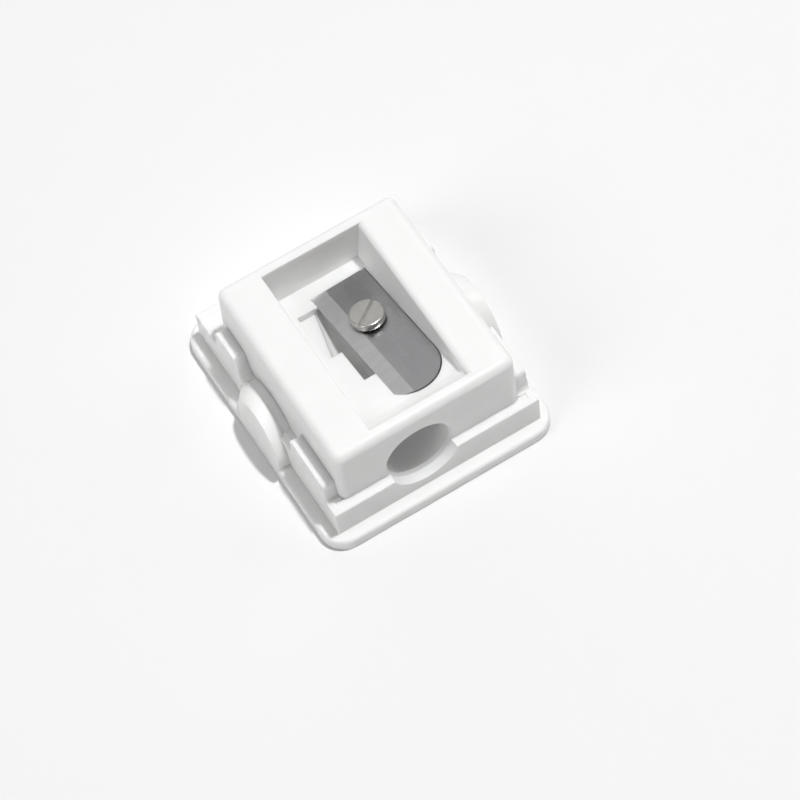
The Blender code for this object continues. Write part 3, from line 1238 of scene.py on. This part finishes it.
@dataclass
class BladeScrew:
    """The slotted screw that holds the blade down."""

    gauge: Gauge
    head_radius: float = 0.0021
    head_height: float = 0.0008
    head_round: Rounding = Rounding(0.00028, 5)
    head_sides: int = 96
    shank_radius: float = 0.001
    shank_round: Rounding = Rounding(0.0005, 3)
    shank_sides: int = 64
    length: float = 0.0042
    slot_width: float = 0.0005
    slot_turn: float = math.radians(35)
    edge_break: Rounding = Rounding(0.00006, 2)

    def build(self, finish: bpy.types.Material) -> Piece:
        """Model the screw in its hole.

        Args:
            finish: Its material.

        Returns:
            The finished piece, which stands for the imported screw.
        """
        g = self.gauge
        seat = g.blade_thick + g.gap
        top = seat + self.head_height
        middle = Vector((0, 0, (seat + top) / 2))
        head = drum(
            "blade_screw_turned", self.head_radius, self.head_height, middle, Axis.Z, self.head_sides
        )
        round_edges(head, at_height(top), self.head_round)
        middle = Vector((0, 0, seat - self.length / 2 + TOUCH))
        shank = drum("shank", self.shank_radius, self.length, middle, Axis.Z, self.shank_sides)
        round_edges(shank, at_height(seat - self.length + TOUCH), self.shank_round)
        combine(head, shank, Action.JOIN)
        reach = self.head_radius + OVERSHOOT
        low = Vector((-reach, -self.slot_width / 2, top - self.head_height / 2))
        slot = block("slot", low, Vector((reach, self.slot_width / 2, top + OVERSHOOT)))
        combine(head, turn_to(slot, Matrix.Rotation(self.slot_turn, 4, "Z")), Action.CUT)
        soften(head, self.edge_break)
        shade(head)
        coat(head, finish)
        return turn_to(head, g.blade_place @ Matrix.Translation((g.screw_aside, g.screw_along, 0)))


@dataclass(frozen=True)
class Softbox:
    """A square studio light, aimed at the sharpener."""

    name: str
    toward: tuple[float, float, float]
    distance: float
    size: float
    power: float

    def build(self) -> None:
        """Add the light to the scene."""
        lamp = bpy.data.lights.new(self.name, "AREA")
        lamp.shape = "SQUARE"
        lamp.size = self.size
        lamp.energy = self.power
        item = bpy.data.objects.new(self.name, lamp)
        bpy.context.scene.collection.objects.link(item)
        direction = Vector(self.toward).normalized()
        item.location = direction * self.distance
        item.rotation_euler = direction.to_track_quat("Z", "Y").to_euler()


@dataclass
class Studio:
    """The floor, the lights and the camera."""

    elevation: float = math.radians(60.757)
    azimuth: float = math.radians(24.317)
    roll: float = math.radians(-8.247)
    distance: float = 0.400355
    aim_right: float = -0.004484
    aim_up: float = 0.008463
    aim_from: tuple[float, float, float] = (0.0, -0.0155, 0.0017)
    lens: float = 161.676
    sensor: float = 36.0
    near_clip: float = 0.01
    floor_half: float = 1.5
    floor_thick: float = 0.001
    floor_level: float = 0.885
    floor_mottle: float = 0.01
    floor_roughness: tuple[float, float] = (0.85, 0.95)
    sky: float = 0.1
    lights: tuple[Softbox, ...] = (
        Softbox("key_softbox", (0.222, -0.035, 1.0), 0.9, 0.05, 5.3),
        Softbox("left_softbox", (-1.0, -0.1, 0.9), 0.9, 0.5, 2.2),
        Softbox("right_softbox", (1.0, 0.0, 0.8), 0.9, 0.5, 0.9),
        Softbox("back_softbox", (0.12, 0.77, 0.6), 1.2, 1.2, 2.45),
    )

    def build(self) -> None:
        """Add the floor, the sky, the lights and the camera."""
        self._floor()
        self._sky()
        for light in self.lights:
            light.build()
        self._camera()
        bpy.context.scene.view_settings.view_transform = "Standard"

    def _floor(self) -> None:
        """Add the plain pale floor."""
        low = Vector((-self.floor_half, -self.floor_half, -self.floor_thick))
        floor = block("floor", low, Vector((self.floor_half, self.floor_half, 0.0)))
        darker = grey(self.floor_level - self.floor_mottle)
        paper = Finish("pale_paper", grey(self.floor_level), darker, self.floor_roughness)
        floor.data.materials.append(paper.material())

    def _sky(self) -> None:
        """Set an even, soft fill light all round."""
        world = bpy.data.worlds.new("studio")
        world.use_nodes = True
        fill(world.node_tree.nodes["Background"], {"Color": grey(1.0), "Strength": self.sky})
        bpy.context.scene.world = world

    def _camera(self) -> None:
        """Add the camera at the photograph's place."""
        flat = math.cos(self.elevation)
        back = Vector(
            (-math.sin(self.azimuth) * flat, -math.cos(self.azimuth) * flat, math.sin(self.elevation))
        )
        level = Vector((math.cos(self.azimuth), -math.sin(self.azimuth), 0.0))
        rise = back.cross(level)
        right = math.cos(self.roll) * level + math.sin(self.roll) * rise
        up = back.cross(right)
        eye = Vector(self.aim_from) + right * self.aim_right + up * self.aim_up + back * self.distance
        lens = bpy.data.cameras.new("photo_camera")
        lens.lens = self.lens
        lens.sensor_width = self.sensor
        lens.clip_start = self.near_clip
        camera = bpy.data.objects.new("photo_camera", lens)
        bpy.context.scene.collection.objects.link(camera)
        turn = Matrix((right, up, back)).transposed().to_4x4()
        camera.matrix_world = Matrix.Translation(eye) @ turn
        bpy.context.scene.camera = camera


WHITE_MOULDING = Finish(
    "white_moulding",
    light=(0.90, 0.90, 0.895, 1.0),
    dark=(0.86, 0.86, 0.855, 1.0),
    roughness=(0.42, 0.52),
    fine_scale=5200.0,
    broad_scale=160.0,
    bump_depth=0.000006,
    bump_strength=0.25,
    ior=1.4,
    translucency=0.7,
    translucency_depth=0.0009,
)
WHITE_BLOCK = Finish(
    "white_block",
    light=(0.91, 0.91, 0.905, 1.0),
    dark=(0.87, 0.87, 0.865, 1.0),
    roughness=(0.4, 0.5),
    fine_scale=5600.0,
    broad_scale=140.0,
    bump_depth=0.000005,
    bump_strength=0.22,
    ior=1.4,
    translucency=0.7,
    translucency_depth=0.0009,
)
# One steel in two tones: the flat's colour is darkened as painted reflection of its dark surroundings.
FLAT_STEEL_PAINTED_DARK = Finish(
    "blade_steel_flat_painted_dark",
    light=(0.47, 0.47, 0.48, 1.0),
    dark=(0.39, 0.39, 0.40, 1.0),
    roughness=(0.24, 0.32),
    metallic=1.0,
    fine_scale=9000.0,
    broad_scale=420.0,
    stretch=(1.0, 0.3, 1.0),
    turn=-BLADE_YAW,
    bump_depth=0.0000005,
    bump_strength=0.2,
)
# The ground strip: real grain and roughness, with its steel colour lightened as painted sheen.
GROUND_STEEL_PAINTED_SHEEN = Finish(
    "blade_steel_ground",
    light=(0.74, 0.74, 0.75, 1.0),
    dark=(0.60, 0.60, 0.61, 1.0),
    roughness=(0.34, 0.46),
    metallic=1.0,
    fine_scale=5200.0,
    broad_scale=1500.0,
    stretch=(0.12, 1.0, 1.0),
    turn=-BLADE_YAW,
    bump_depth=0.000001,
    bump_strength=0.3,
)
SCREW_STEEL = Finish(
    "screw_steel",
    light=(0.66, 0.65, 0.62, 1.0),
    dark=(0.52, 0.51, 0.49, 1.0),
    roughness=(0.25, 0.4),
    metallic=1.0,
    fine_scale=3000.0,
    broad_scale=900.0,
    bump_depth=0.000003,
    bump_strength=0.3,
)


def dress(piece: Piece, node: str) -> None:
    """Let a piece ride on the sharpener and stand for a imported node.

    Args:
        piece: The finished piece.
        node: The node that it stands for.
    """
    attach(piece, "root")
    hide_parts(node)
    LOG.info("%s stands for %s, %d faces", piece.name, node, len(piece.data.polygons))


def main() -> None:
    """Build the sharpener's pieces and the studio."""
    logging.basicConfig(level=logging.INFO, format="%(message)s")
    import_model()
    gauge = Gauge.from_frame()
    dress(BaseFrame(gauge).build(WHITE_MOULDING.material()), "base_frame")
    dress(SharpeningBlock(gauge).build(WHITE_BLOCK.material()), "sharpener_body")
    blade = Blade(gauge).build(FLAT_STEEL_PAINTED_DARK.material(), GROUND_STEEL_PAINTED_SHEEN.material())
    dress(blade, "blade")
    dress(BladeScrew(gauge).build(SCREW_STEEL.material()), "blade_screw")
    Studio().build()


if __name__ == "__main__":
    main()
